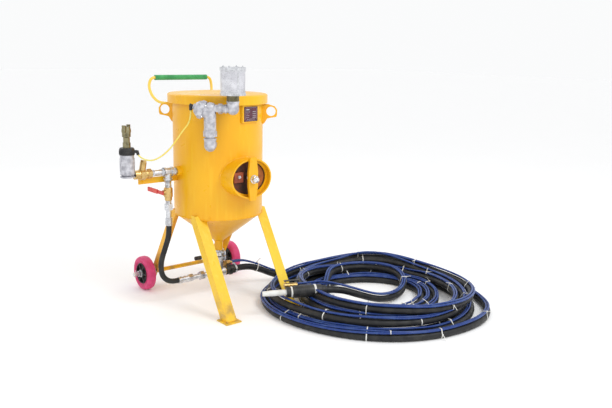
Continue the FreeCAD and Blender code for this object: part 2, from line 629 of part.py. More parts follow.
def blast_hose():
    """Coupling, twin control-line fittings, the free runs of hose and the coil."""
    line = V(0, 0, LINE_Z)
    coupling = fuse(rod(27, line + V(46, 0, 0), line + V(72, 0, 0)),
                    rod(31, line + V(72, 0, 0), line + V(84, 0, 0)),
                    rod(26, line + V(84, 0, 0), line + V(118, 0, 0)),
                    slab((70, 88), (-38, 38), (LINE_Z - 10, LINE_Z + 10)))
    coupling = coupling.cut(rod(12, line + V(40, 0, 0), line + V(130, 0, 0)))
    save("blast_hose_coupling", coupling)

    plate = fuse(rod(24, line + V(36, 0, 0), line + V(42, 0, 0)), slab((36, 42), (-20, 20), (LINE_Z, 196)))
    plate = plate.cut(rod(16, line, line + V(60, 0, 0)))
    fittings = [rod(7, V(30, y, 182), V(84, y, 182)) for y in (-10, 10)]
    save("control_line_bracket", fuse(plate, *fittings))

    lead = [V(118, 0, 135), V(206, 0, 135), V(292, -8, 100), V(374, -14, 58), V(466, -20, 21)]
    lead_tube = tube(lead, HOSE_D, "blast hose lead")
    tail = [V(506, -378, 24), V(552, -330, 56), V(636, -264, 80), V(756, -240, 76), V(880, -286, 76),
            V(956, -376, 78), V(985, -480, 76), V(950, -592, 66), V(860, -672, 50), V(740, -712, 46),
            V(596, -722, 64), V(456, -690, 104), V(360, -652, 135), NOZZLE_AT]
    tail_tube = tube(tail, HOSE_D, "blast hose tail")
    save("blast_hose_runs", group(lead_tube, tail_tube))
    lines = []
    for side in (-7, 7):
        start = 10 if side > 0 else -10
        route = [V(84, start, 182), V(150, start, 182), V(222, start, 159), V(296, side - 8, 126),
                 V(376, side - 14, 84), V(466, side - 20, 47)]
        lines.append(tube(route, LINE_D, "control line lead"))
    for side, finish in ((-7, -8), (7, 8)):
        route = [p + V(0, 0, 30) + across(tail, k) * side for k, p in enumerate(tail)][:-1]
        end = deadman_at() + V(0, 0, finish)
        route.append(NOZZLE_AT + NOZZLE_WAY * 10 + NOZZLE_SIDE * 36 + V(0, 0, 32 + finish))
        route.append(end - NOZZLE_WAY * 60)
        route.append(end)
        lines.append(tube(route, LINE_D, "control line tail"))
    save("control_line_runs", group(*lines))

    low = rod(COIL_OUTER, COIL_AT, COIL_AT + V(0, 0, COIL_STEP))
    low = low.cut(rod(COIL_INNER, HOLLOW_AT, HOLLOW_AT + V(0, 0, COIL_STEP)))
    high = pipe(COIL_OUTER, COIL_STACK_INNER, COIL_AT + V(0, 0, COIL_STEP), COIL_AT + V(0, 0, COIL_TOP))
    slot = slab((LEG_X - 52, LEG_X + 52), (-FOOT_Y - 54, -FOOT_Y + 110), (-1, COIL_TOP + 1))
    coil = fuse(low, high).cut(slot).cut(lead_tube).cut(tail_tube)
    for solid in lines:
        coil = coil.cut(solid)
    save("hose_coil", max(coil.Solids, key=lambda solid: solid.Volume))


def across(route, k):
    """The sideways unit vector of a route at its point k."""
    ahead = route[min(k + 1, len(route) - 1)]
    back = route[max(k - 1, 0)]
    way = ahead - back
    return V(-way.y, way.x, 0).normalize()


def deadman_at():
    """Where the twin lines enter the deadman control."""
    return NOZZLE_AT + NOZZLE_WAY * 150 + NOZZLE_SIDE * 48 + V(0, 0, 22)


def nozzle():
    at = NOZZLE_AT
    way = NOZZLE_WAY
    bore = 10
    holder = fuse(rod(26, at, at + way * 28), rod(33, at + way * 28, at + way * 186))
    holder = fuse(holder, rod(28, at + way * 186, at + way * 222))
    save("nozzle_holder", holder.cut(rod(bore, at - way, at + way * 230)))
    tip = fuse(rod(16, at + way * 222, at + way * 300), cone(16, 13, at + way * 300, at + way * 352))
    tip = tip.cut(rod(NOZZLE_BORE, at + way * 200, at + way * 360))
    save("nozzle", tip)

    start = deadman_at()
    body = rod(13, start + way * 0, start + way * 72)
    foot_top = start + way * 36
    foot = rod(10, foot_top, foot_top - NOZZLE_SIDE * 20 - V(0, 0, 8))
    body = fuse(body, foot).cut(rod(33.2, at, at + way * 190)).cut(rod(28.2, at + way * 186, at + way * 222))
    post = rod(5, start + way * 66 + V(0, 0, 8), start + way * 66 + V(0, 0, 23))
    save("deadman_body", fuse(body, post))
    lever = slab((0, 84), (-8, 8), (0, 5))
    lever.Placement = FreeCAD.Placement(start + way * 74 + V(0, 0, 24.5), FreeCAD.Rotation(V(1, 0, 0), -way))
    save("deadman_lever", lever)


def main():
    os.makedirs("parts", exist_ok=True)
    vessel()
    filling_valve()
    lifting_lugs()
    name_plate()
    hand_hole()
    frame()
    wheels()
    handle()
    air_inlet()
    pusher_line()
    metering_valve()
    exhaust()
    control_tube()
    blast_hose()
    nozzle()


main()
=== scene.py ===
import json
import math
import random

import bpy
import numpy as np
from mathutils import Matrix, Vector


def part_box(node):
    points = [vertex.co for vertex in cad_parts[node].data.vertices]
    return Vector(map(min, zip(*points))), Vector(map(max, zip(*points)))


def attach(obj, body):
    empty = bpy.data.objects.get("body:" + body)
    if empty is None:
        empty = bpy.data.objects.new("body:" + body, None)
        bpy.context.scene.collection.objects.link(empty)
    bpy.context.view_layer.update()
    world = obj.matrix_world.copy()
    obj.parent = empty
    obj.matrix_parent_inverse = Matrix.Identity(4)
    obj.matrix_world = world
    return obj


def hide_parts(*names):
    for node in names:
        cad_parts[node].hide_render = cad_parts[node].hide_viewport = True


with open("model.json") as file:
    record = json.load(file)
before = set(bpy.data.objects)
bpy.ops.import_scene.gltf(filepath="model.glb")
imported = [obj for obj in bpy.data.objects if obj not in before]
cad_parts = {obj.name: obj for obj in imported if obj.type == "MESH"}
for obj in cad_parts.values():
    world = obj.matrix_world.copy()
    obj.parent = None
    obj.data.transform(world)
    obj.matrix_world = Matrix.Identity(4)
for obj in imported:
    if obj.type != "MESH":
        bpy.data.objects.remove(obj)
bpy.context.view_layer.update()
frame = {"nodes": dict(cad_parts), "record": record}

# The vessel stands on this point of the floor; every place below is in mm from it, +X right, +Y rear.
LID_LO, LID_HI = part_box("lid")
AXIS = Vector(((LID_LO.x + LID_HI.x) / 2, (LID_LO.y + LID_HI.y) / 2, 0))
MM = 0.001
UP = Vector((0, 0, 1))

# Driving sizes, mm and degrees; the floor's half width is in metres.
VESSEL_R = 250
HOSE_R = 19
LINE_R = 5.5
PUSHER_R = 15
TUBE_R = 4
LEG_X = 203
LEG_SIZE = 63
FOOT_Y = 405
HAND_Z = 735
HAND_W = 130
HAND_H = 108
NECK_STEPS = 96
PLATE_TURN = 9
PLATE_Z = 1073
PLATE_FACE = 261.2
AIR_VALVE_X = -558
EXHAUST_TURN = -40.5
EXHAUST_AT = Vector((-211, -247, 0))
BONNET_TILT = 21
SILENCER_ALONG = 118
SILENCER_TOP = 1320
INLET_Z = 758
DROP_X = -323
BALL_VALVE_Z = 645
BLAST_Z = 135
WHEEL_X = 301
WHEEL_Y = 337
WHEEL_Z = 100
FLOOR_HALF = 40
NOZZLE_AT = Vector((287, -618, BLAST_Z))
NOZZLE_WAY = Vector((-73, 34, 0)).normalized()
NOZZLE_SIDE = Vector((34, 73, 0)).normalized()


def at(x, y, z):
    """A place given in mm from the vessel's axis, in the frame's metres."""
    return AXIS + Vector((x, y, z)) * MM


def polar(radius, azimuth, z):
    """A place round the vessel, in mm; azimuth in degrees from +X."""
    a = math.radians(azimuth)
    return Vector((radius * math.cos(a), radius * math.sin(a), z))


# ---------------------------------------------------------------- materials


class Paint:
    """A procedural material: one Principled shader and a few chains of nodes in object space."""

    def __init__(self, name, roughness=0.5, metallic=0.0, **sockets):
        self.material = bpy.data.materials.new(name)
        self.material.use_nodes = True
        self.tree = self.material.node_tree
        self.shader = self.tree.nodes["Principled BSDF"]
        self.shader.inputs["Metallic"].default_value = metallic
        self.shader.inputs["Roughness"].default_value = roughness
        for socket, value in sockets.items():
            self.shader.inputs[socket.replace("_", " ")].default_value = value
        self.coords = self.node("ShaderNodeTexCoord").outputs["Object"]
        self.height = None

    def node(self, kind, **settings):
        made = self.tree.nodes.new(kind)
        for key, value in settings.items():
            setattr(made, key, value)
        return made

    def link(self, a, b):
        self.tree.links.new(a, b)

    def stretched(self, scale):
        mapping = self.node("ShaderNodeMapping")
        mapping.inputs["Scale"].default_value = scale
        self.link(self.coords, mapping.inputs["Vector"])
        return mapping.outputs["Vector"]

    def noise(self, scale, detail=3, stretch=(1, 1, 1)):
        made = self.node("ShaderNodeTexNoise")
        made.inputs["Scale"].default_value = scale
        made.inputs["Detail"].default_value = detail
        self.link(self.stretched(stretch), made.inputs["Vector"])
        return made.outputs["Fac"]

    def cells(self, scale, output="Distance", feature="F1"):
        """Voronoi cells: the distance to a cell's middle or edge, or the cell's own colour."""
        made = self.node("ShaderNodeTexVoronoi", feature=feature)
        made.inputs["Scale"].default_value = scale
        self.link(self.coords, made.inputs["Vector"])
        return made.outputs[output]

    def fade(self, axis, low, high):
        """1 below `low` metres along an axis of the frame and 0 above `high`."""
        split = self.node("ShaderNodeSeparateXYZ")
        self.link(self.coords, split.inputs[0])
        return self.ramp(split.outputs[axis], low, high, 1, 0)

    def ramp(self, value, low, high, first=0.0, last=1.0):
        made = self.node("ShaderNodeMapRange")
        made.inputs["From Min"].default_value = low
        made.inputs["From Max"].default_value = high
        made.inputs["To Min"].default_value = first
        made.inputs["To Max"].default_value = last
        self.link(value, made.inputs["Value"])
        return made.outputs["Result"]

    def product(self, a, b):
        made = self.node("ShaderNodeMath", operation="MULTIPLY")
        self.link(a, made.inputs[0])
        self.link(b, made.inputs[1])
        return made.outputs[0]

    def mix(self, share, a, b):
        """Colour a where share is 0 and b where it is 1; a and b are colours or sockets."""
        made = self.node("ShaderNodeMix", data_type="RGBA")
        self.link(share, made.inputs[0])
        for value, socket in ((a, made.inputs[6]), (b, made.inputs[7])):
            if isinstance(value, tuple):
                socket.default_value = (*value, 1)
            else:
                self.link(value, socket)
        return made.outputs[2]

    def colour(self, value):
        self.link(value, self.shader.inputs["Base Color"])

    def roughness(self, value, low, high):
        self.link(self.ramp(value, 0.3, 0.7, low, high), self.shader.inputs["Roughness"])

    def bump(self, value, strength, distance=0.001):
        made = self.node("ShaderNodeBump")
        made.inputs["Strength"].default_value = strength
        made.inputs["Distance"].default_value = distance
        self.link(value, made.inputs["Height"])
        if self.height is not None:
            self.link(self.height, made.inputs["Normal"])
        self.height = made.outputs["Normal"]
        self.link(self.height, self.shader.inputs["Normal"])


def enamel(name, base, deep, worn, dirt_top=0.34):
    """Brushed-on enamel: orange peel, faint sags, chips that show primer, and dust low down."""
    paint = Paint(name, 0.34, Coat_Weight=0.14, Coat_Roughness=0.16, Specular_IOR_Level=0.4)
    broad = paint.ramp(paint.noise(3.0, 4), 0.35, 0.7)
    tone = paint.mix(broad, deep, base)
    streaks = paint.ramp(paint.noise(9, 5, (6, 6, 0.7)), 0.52, 0.75, 0, 0.35)
    tone = paint.mix(streaks, tone, worn)
    chips = paint.ramp(paint.noise(95, 6), 0.70, 0.715)
    near = paint.ramp(paint.noise(4.5, 2), 0.5, 0.68)
    tone = paint.mix(paint.product(chips, near), tone, (0.19, 0.105, 0.045))
    low = paint.product(paint.fade("Z", 0.0, dirt_top), paint.ramp(paint.noise(22, 6), 0.42, 0.72))
    tone = paint.mix(low, tone, (0.30, 0.19, 0.09))
    paint.colour(tone)
    paint.roughness(paint.noise(14, 4), 0.26, 0.46)
    paint.bump(paint.noise(420, 2), 0.10, 0.0006)
    paint.bump(paint.noise(26, 3), 0.10, 0.003)
    return paint.material


def hand_hole_painted_shade():
    """Rusty primer deep in the hand hole, with painted shade and light: near black on the left, where the
    hole lies in shadow, and red-brown on the right, where its wall is lit.
    """
    paint = Paint("inner_steel", 0.6)
    patches = paint.ramp(paint.noise(16, 4), 0.44, 0.60)
    painted_shade_side = paint.mix(patches, (0.022, 0.012, 0.010), (0.13, 0.035, 0.015))
    painted_lit_side = paint.mix(patches, (0.40, 0.125, 0.025), (0.26, 0.075, 0.018))
    # Painted light and shade across the hole: the lit tone on the right, the shaded tone on the left; the
    # patches are rust.
    paint.colour(paint.mix(paint.fade("X", AXIS.x - 0.01, AXIS.x + 0.03), painted_lit_side, painted_shade_side))
    paint.roughness(paint.noise(50, 3), 0.5, 0.75)
    paint.bump(paint.noise(180, 4), 0.3, 0.0008)
    return paint.material


def zinc_plate():
    """Galvanised pipe fittings: spangle, dull patches and a slightly rough skin."""
    paint = Paint("zinc", 0.36, 1.0)
    spangle = paint.cells(190, "Color")
    split = paint.node("ShaderNodeSeparateColor")
    paint.link(spangle, split.inputs[0])
    tone = paint.mix(paint.ramp(split.outputs[0], 0, 1), (0.56, 0.57, 0.60), (0.80, 0.81, 0.83))
    dull = paint.ramp(paint.noise(30, 5), 0.5, 0.72, 0, 0.7)
    paint.colour(paint.mix(dull, tone, (0.36, 0.36, 0.37)))
    paint.roughness(paint.noise(60, 4), 0.24, 0.50)
    paint.bump(paint.noise(300, 4), 0.18, 0.0008)
    return paint.material


def cast_alloy():
    """Sand-cast grey alloy: grainy, with darker hollows and rubbed highlights."""
    paint = Paint("cast_alloy", 0.5, 0.55)
    tone = paint.mix(paint.ramp(paint.noise(45, 6), 0.35, 0.68), (0.40, 0.40, 0.44), (0.70, 0.70, 0.74))
    grime = paint.ramp(paint.noise(12, 5), 0.55, 0.75, 0, 0.6)
    paint.colour(paint.mix(grime, tone, (0.26, 0.25, 0.27)))
    paint.roughness(paint.noise(80, 4), 0.38, 0.62)
    paint.bump(paint.noise(520, 5), 0.35, 0.0008)
    paint.bump(paint.noise(60, 3), 0.2, 0.002)
    return paint.material


def rubber(name, base, dust_and_sheen, gloss=0.55, wrap=0.0):
    """Hose and seal rubber: cloth-wrap ribbing, scuffs and pale dust; on the blue control lines the paler
    tone is painted sheen.
    """
    paint = Paint(name, gloss, Specular_IOR_Level=0.4)
    dust_and_sheen_patches = paint.ramp(paint.noise(17, 6), 0.45, 0.75, 0, 0.55)
    scuff = paint.ramp(paint.noise(160, 4, (1, 1, 2)), 0.6, 0.72, 0, 0.5)
    # Patches and scuffs tint towards the second colour: real dust on the black rubber, painted sheen on the
    # blue lines.
    paint.colour(paint.mix(scuff, paint.mix(dust_and_sheen_patches, base, dust_and_sheen), dust_and_sheen))
    paint.roughness(paint.noise(35, 4), gloss - 0.14, gloss + 0.16)
    paint.bump(paint.noise(700, 3), 0.22, 0.0006)
    if wrap:
        paint.bump(paint.cells(wrap, feature="DISTANCE_TO_EDGE"), 0.25, 0.0006)
    return paint.material


def moulded(name, base, other, gloss, grain=260, strength=0.12):
    """Moulded or dipped plastic with a fine grain and faint shade changes."""
    paint = Paint(name, gloss, Specular_IOR_Level=0.45)
    paint.colour(paint.mix(paint.ramp(paint.noise(24, 5), 0.38, 0.68), base, other))
    paint.roughness(paint.noise(50, 3), max(0.05, gloss - 0.1), gloss + 0.12)
    paint.bump(paint.noise(grain, 4), strength, 0.0008)
    return paint.material


def bright_metal(name, base, dull, rough):
    """Turned metal: fine circular scratches, finger marks and a little tarnish."""
    paint = Paint(name, rough, 1.0)
    paint.colour(paint.mix(paint.ramp(paint.noise(40, 5), 0.45, 0.72, 0, 0.8), base, dull))
    paint.roughness(paint.noise(140, 4, (1, 1, 5)), rough * 0.7, rough * 1.7)
    paint.bump(paint.noise(900, 2, (1, 1, 6)), 0.08, 0.0004)
    return paint.material


def foam():
    """Closed-cell foam: open pores, darkened with painted shade, over a soft, uneven surface."""
    paint = Paint("foam_grip", 0.85, Sheen_Weight=0.3, Sheen_Roughness=0.5)
    pores = paint.cells(330)
    shade = paint.ramp(paint.noise(20, 5), 0.35, 0.7)
    tone = paint.mix(shade, (0.035, 0.32, 0.095), (0.09, 0.50, 0.16))
    # The pores' middles are darkened: painted shade inside them.
    paint.colour(paint.mix(paint.ramp(pores, 0.45, 0.75, 0, 0.6), tone, (0.008, 0.11, 0.04)))
    paint.bump(pores, 0.5, 0.0012)
    paint.bump(paint.noise(38, 3), 0.3, 0.003)
    return paint.material


def printed_plate():
    """Dark enamelled plate with worn, cloudy ink and no lettering."""
    paint = Paint("plate_print", 0.38, Coat_Weight=0.4)
    cloud = paint.ramp(paint.noise(60, 5), 0.35, 0.68)
    tone = paint.mix(cloud, (0.045, 0.006, 0.018), (0.13, 0.015, 0.045))
    paint.colour(paint.mix(paint.ramp(paint.noise(420, 3), 0.66, 0.74, 0, 0.5), tone, (0.45, 0.3, 0.33)))
    paint.roughness(paint.noise(70, 3), 0.25, 0.5)
    paint.bump(paint.noise(300, 3), 0.1, 0.0005)
    return paint.material


def fine_mesh():
    """Punched silencer sheet: rows of small dimples in bright zinc, each darkened with painted shade."""
    paint = Paint("silencer_mesh", 0.42, 0.85)
    holes = paint.cells(170)
    tone = paint.mix(paint.ramp(paint.noise(26, 4), 0.4, 0.7), (0.62, 0.62, 0.66), (0.82, 0.82, 0.86))
    # The dimples' middles are darkened: painted shade inside them.
    paint.colour(paint.mix(paint.ramp(holes, 0.12, 0.34, 0.75, 0), tone, (0.22, 0.22, 0.24)))
    paint.roughness(paint.noise(60, 3), 0.32, 0.55)
    paint.bump(holes, 0.5, 0.0015)
    return paint.material


def make_materials():
    """Every skin by name; most names are also slots of the record."""
    return {
        "body_paint": enamel("body_paint", (0.91, 0.49, 0.004), (0.85, 0.41, 0.002), (0.94, 0.60, 0.03)),
        # A lighter copy of the body enamel for the front legs: painted light for their lit faces, whose
        # paint is the body's orange.
        "lit_leg_paint": enamel("lit_leg_paint", (0.94, 0.66, 0.04), (0.90, 0.54, 0.02), (0.97, 0.77, 0.12), 0.16),
        "handle_paint": enamel("handle_paint", (0.93, 0.66, 0.10), (0.88, 0.55, 0.06), (0.95, 0.78, 0.25)),
        "inner_steel": hand_hole_painted_shade(),
        "red_primer": moulded("red_primer", (0.36, 0.085, 0.035), (0.22, 0.05, 0.025), 0.55, 180, 0.3),
        "dark_brass": bright_metal("dark_brass", (0.30, 0.27, 0.16), (0.10, 0.09, 0.055), 0.3),
        "foam_grip": foam(),
        "seal_rubber": rubber("seal_rubber", (0.012, 0.012, 0.013), (0.06, 0.058, 0.055), 0.6),
        "hose_rubber": rubber("hose_rubber", (0.010, 0.0105, 0.012), (0.052, 0.050, 0.043), 0.50, 240),
        # The paler blue is painted sheen along the control lines.
        "line_rubber": rubber("line_rubber", (0.010, 0.040, 0.21), (0.075, 0.14, 0.34), 0.34),
        "wheel_tyre": moulded("wheel_tyre", (0.70, 0.055, 0.20), (0.58, 0.04, 0.15), 0.48, 200, 0.2),
        "wheel_rim": moulded("wheel_rim", (0.014, 0.014, 0.016), (0.04, 0.038, 0.036), 0.45),
        "zinc": zinc_plate(),
        "cast_alloy": cast_alloy(),
        "chrome": bright_metal("chrome", (0.80, 0.81, 0.83), (0.60, 0.58, 0.52), 0.12),
        "brass": bright_metal("brass", (0.72, 0.50, 0.20), (0.42, 0.27, 0.10), 0.28),
        "red_lever": moulded("red_lever", (0.62, 0.045, 0.04), (0.72, 0.10, 0.07), 0.35),
        "black_part": moulded("black_part", (0.014, 0.014, 0.015), (0.045, 0.043, 0.04), 0.42),
        "plate_print": printed_plate(),
        "yellow_tube": moulded("yellow_tube", (0.85, 0.66, 0.09), (0.80, 0.74, 0.25), 0.25, 400, 0.05),
        "nozzle_white": moulded("nozzle_white", (0.80, 0.80, 0.77), (0.66, 0.65, 0.60), 0.5, 320, 0.15),
        "silencer_mesh": fine_mesh(),
    }


SKIN = make_materials()

# CAD nodes that take another skin than their slot's.
OWN_SKIN = {"silencer_body": "silencer_mesh", "hand_hole_cover": "inner_steel", "front_legs": "lit_leg_paint",
            "claw_coupling": "dark_brass"}


def dress_cad():
    """Every CAD node keeps its shape and takes its own skin, or its slot's."""
    slots = {row["node"]: row["material_slot"] for row in frame["record"]["subparts"]}
    for name, obj in frame["nodes"].items():
        skin = SKIN[OWN_SKIN.get(name, slots[name])]
        obj.data.materials.clear()
        obj.data.materials.append(skin)


# ---------------------------------------------------------------- shapes


class Shape:
    """Collects faces in mm from the vessel's axis, then becomes one piece."""

    def __init__(self):
        self.points = []
        self.faces = []

    def rings(self, rings, closed=False, capped=True):
        """A skin over rings that have the same number of points."""
        first, size = len(self.points), len(rings[0])
        for ring in rings:
            self.points.extend(ring)
        count = len(rings)
        for i in range(count if closed else count - 1):
            a, b = first + i * size, first + ((i + 1) % count) * size
            for k in range(size):
                n = (k + 1) % size
                self.faces.append((a + k, a + n, b + n, b + k))
        if capped and not closed:
            self.faces.append(tuple(first + k for k in reversed(range(size))))
            self.faces.append(tuple(first + (count - 1) * size + k for k in range(size)))

    def turned(self, place, way, profile, sides=32, closed=False):
        """A turned solid: profile is (radius, distance along way) pairs."""
        way = Vector(way).normalized()
        side, other = across(way)
        rings = []
        for radius, along in profile:
            ring = []
            for k in range(sides):
                a = 2 * math.pi * k / sides
                out = side * math.cos(a) + other * math.sin(a)
                ring.append(Vector(place) + way * along + out * radius)
            rings.append(ring)
        self.rings(rings, closed=closed)

    def hex_nut(self, place, way, flats, height):
        """A nut or bolt head with chamfered corners."""
        r = flats / math.sqrt(3)
        profile = ((r * 0.86, 0), (r, height * 0.14), (r, height * 0.82), (r * 0.86, height))
        self.turned(place, way, profile, 6)

    def washer(self, place, way, outer, inner, height):
        """A flat ring."""
        profile = ((inner, 0), (outer, 0), (outer, height), (inner, height))
        self.turned(place, way, profile, 36, closed=True)

    def swept(self, path, radius, sides=10, closed=False):
        """A tube along points; radius is a number or a function of the point's number."""
        rings = []
        for i, p in enumerate(path):
            before = path[(i - 1) % len(path)] if closed or i else p
            after = path[(i + 1) % len(path)] if closed or i < len(path) - 1 else p
            side, other = across((after - before).normalized())
            r = radius(i) if callable(radius) else radius
            angles = [2 * math.pi * k / sides for k in range(sides)]
            rings.append([p + (side * math.cos(a) + other * math.sin(a)) * r for a in angles])
        self.rings(rings, closed=closed)

    def bar(self, centre, half, way=(1, 0, 0), edge=0.8):
        """A block with broken edges; half is its half size along way, across it and up."""
        way = Vector(way).normalized()
        side = UP.cross(way).normalized()
        top = way.cross(side)
        outline = []
        for sx, sy in ((1, 1), (-1, 1), (-1, -1), (1, -1)):
            steps = ((1, 0), (0, 1)) if sx * sy > 0 else ((0, 1), (1, 0))
            for cx, cy in steps:
                outline.append((sx * (half[0] - edge * (1 - cx)), sy * (half[1] - edge * (1 - cy))))
        rings = []
        for inset, z in ((edge, -half[2]), (0, -half[2] + edge), (0, half[2] - edge), (edge, half[2])):
            wide, deep = 1 - inset / half[0], 1 - inset / half[1]
            middle = Vector(centre) + top * z
            rings.append([middle + way * (x * wide) + side * (y * deep) for x, y in outline])
        self.rings(rings)

    def piece(self, name, skin, body="pot", crease=35):
        """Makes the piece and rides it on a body."""
        mesh = bpy.data.meshes.new(name)
        mesh.from_pydata([at(*p) for p in self.points], [], self.faces)
        mesh.materials.append(SKIN[skin])
        for polygon in mesh.polygons:
            polygon.use_smooth = True
        made = bpy.data.objects.new(name, mesh)
        bpy.context.collection.objects.link(made)
        mesh.set_sharp_from_angle(angle=math.radians(crease))
        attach(made, body)
        return made


def across(way):
    """Two directions square to way and to each other."""
    guide = UP if abs(way.z) < 0.9 else Vector((1, 0, 0))
    side = guide.cross(way).normalized()
    return side, way.cross(side)


# ---------------------------------------------------------------- camera, light and floor


def make_camera():
    """Eye height a little above the lid, to the left of the front, with a slight roll."""
    heading = Vector((0.648, 0.7615, 0)).normalized()
    pitch, roll = 0.211, 0.02
    place = AXIS + Vector((-2.234, -3.400, 1.415))
    forward = heading * math.cos(pitch) - UP * math.sin(pitch)
    right = forward.cross(UP).normalized()
    up = right.cross(forward)
    tilted_right = right * math.cos(roll) + up * math.sin(roll)
    tilted_up = up * math.cos(roll) - right * math.sin(roll)
    data = bpy.data.cameras.new("camera")
    data.lens, data.sensor_width = 42.35, 36
    camera = bpy.data.objects.new("camera", data)
    turn = Matrix((tilted_right, tilted_up, -forward)).transposed()
    camera.matrix_world = Matrix.Translation(place) @ turn.to_4x4()
    bpy.context.collection.objects.link(camera)
    bpy.context.scene.camera = camera


def make_light():
    """A white studio: an even sky, a large key from the front right, a weak fill and a rim."""
    scene = bpy.context.scene
    scene.view_settings.view_transform = "Standard"
    world = bpy.data.worlds.new("studio")
    world.use_nodes = True
    sky = world.node_tree.nodes["Background"]
    sky.inputs["Color"].default_value = (0.99, 0.995, 1.0, 1)
    sky.inputs["Strength"].default_value = 0.97
    scene.world = world
    middle = Vector((0.1, -0.1, 0.6))
    lamps = (("key", (0.9, -3.3, 3.6), 1.5, 62), ("fill", (-3.4, -1.4, 1.6), 2.4, 3),
             ("rim", (0.8, 3.4, 2.8), 2.4, 12))
    for name, place, size, power in lamps:
        data = bpy.data.lights.new(name, "AREA")
        data.size, data.energy = size, power
        lamp = bpy.data.objects.new(name, data)
        lamp.location = AXIS + Vector(place)
        lamp.rotation_euler = (middle - Vector(place)).to_track_quat("-Z", "Y").to_euler()
        bpy.context.collection.objects.link(lamp)


def make_floor():
    """A plain pale floor."""
    mesh = bpy.data.meshes.new("floor")
    corners = [(x * FLOOR_HALF, y * FLOOR_HALF, 0) for x, y in ((-1, -1), (1, -1), (1, 1), (-1, 1))]
    mesh.from_pydata(corners, [], [(0, 1, 2, 3)])
    paint = Paint("floor", 0.8, Emission_Color=(1, 1, 1, 1), Emission_Strength=0.04)
    cloud = paint.ramp(paint.noise(1.5, 3), 0.3, 0.7)
    paint.colour(paint.mix(cloud, (0.955, 0.955, 0.955), (0.965, 0.965, 0.965)))
    mesh.materials.append(paint.material)
    floor = bpy.data.objects.new("floor", mesh)
    bpy.context.collection.objects.link(floor)


# ---------------------------------------------------------------- hoses, lines and their ties

# The blast hose's control points, outside the coil.
HOSE_LEAD = ((118, 0, BLAST_Z), (206, 0, BLAST_Z), (292, -8, 100), (374, -14, 58), (466, -20, 21))
HOSE_TAIL = ((552, -330, 56), (636, -264, 80), (756, -240, 76), (880, -286, 76), (956, -376, 78),
             (985, -480, 76), (950, -592, 60), (860, -672, 32), (740, -712, 22), (596, -722, 40),
             (456, -690, 94), (360, -652, 132), tuple(NOZZLE_AT))
# The coil: its middle, the azimuth where it starts, degrees, and how many turns it has.
COIL_AT = Vector((672, -632, 0))
COIL_START = 98
COIL_END = 8.93
POINTS_PER_TURN = 24
# Where the turns run: turns wound so far, radius and height of the hose's middle, and how far
# the turn's own centre lies towards the front left (+) or the back (-), mm.
COIL_KNOTS = ((0, 628, 19, 36), (1, 582, 19, 40), (2, 536, 19, 40), (3, 490, 19, 40), (3.35, 474, 69, 40),
              (4, 490, 71, 36), (4.35, 514, 69, 36), (5, 549, 69, 36), (5.35, 567, 80, 30),
              (5.6, 520, 124, 0), (5.85, 440, 112, -30), (6.2, 384, 26, -30), (7, 350, 19, -30),
              (8, 308, 19, -30), (9, 266, 19, -30))
# Where in its course each turn passes the front right leg, over what share of a turn it gives way,
# and by how much, mm outwards.
LEG_SHARE = 0.853
LEG_WIDTH = 0.085
LEG_SHIFTS = (38, 44, -96, -60, 56, -20, 0, 0, 0)
# The control lines leave their fittings here, one on either side of the middle. On the hose they keep
# this gap, mm, and stand this many degrees to either side of its top.
LINE_START = Vector((84, 10, 182))
LINE_GAP = 1.5
LINE_SPREAD = 13
TIE_WIDTH = 5.5


def hump(angle, middle, width):
    """A smooth hump, 1 at an azimuth and gone about two widths away, all in degrees."""
    away = (angle - middle + 180) % 360 - 180
    return math.exp(-(away / width) ** 2)


def coil_radius(turns):
    """Radius and height of the hose after that many turns: slumped, wavy and bent round the leg."""
    azimuth = coil_azimuth(turns)
    counts = [k[0] for k in COIL_KNOTS]
    radius, height, slump = (float(np.interp(turns, counts, [k[n] for k in COIL_KNOTS])) for n in (1, 2, 3))
    radius += slump * math.cos(math.radians(azimuth + (165 if slump > 0 else 80)))
    radius += 7 * math.sin(math.radians(3 * azimuth) + 0.2 * turns)
    for number, shift in enumerate(LEG_SHIFTS):
        radius += shift * math.exp(-((turns - number - LEG_SHARE) / LEG_WIDTH) ** 2)
    # The first turn bulges at the front, and the lower turns are pushed in on the right.
    if turns < 1:
        radius += 44 * hump(azimuth, -62, 24)
    if turns < 5.4:
        radius -= 34 * hump(azimuth, 0, 30)
    # Turns four and five ride over the lead's end.
    if 3.5 < turns < 5.4:
        height += 34 * hump(azimuth, 48, 36)
    return radius, height


def coil_azimuth(turns):
    return COIL_START - 360 * turns


def coil_point(turns):
    radius, height = coil_radius(turns)
    return COIL_AT + polar(radius, coil_azimuth(turns), height)


def coil_steps():
    """The turns wound so far at each of the coil's control points."""
    count = int(COIL_END * POINTS_PER_TURN)
    return [COIL_END * (i + 0.5) / count for i in range(count)]


def hose_route():
    coil = [coil_point(turns) for turns in coil_steps()]
    return [Vector(p) for p in HOSE_LEAD] + coil + [Vector(p) for p in HOSE_TAIL]


def line_offset(turns, number, lean, bulge):
    """How far a line lies from the hose's middle: it rides on top, leaning from side to side."""
    reach = HOSE_R + LINE_R + LINE_GAP + bulge
    angle = math.radians(90 + lean + number * LINE_SPREAD)
    outward = polar(1, coil_azimuth(turns), 0)
    return outward * (reach * math.cos(angle)) + UP * (reach * math.sin(angle))


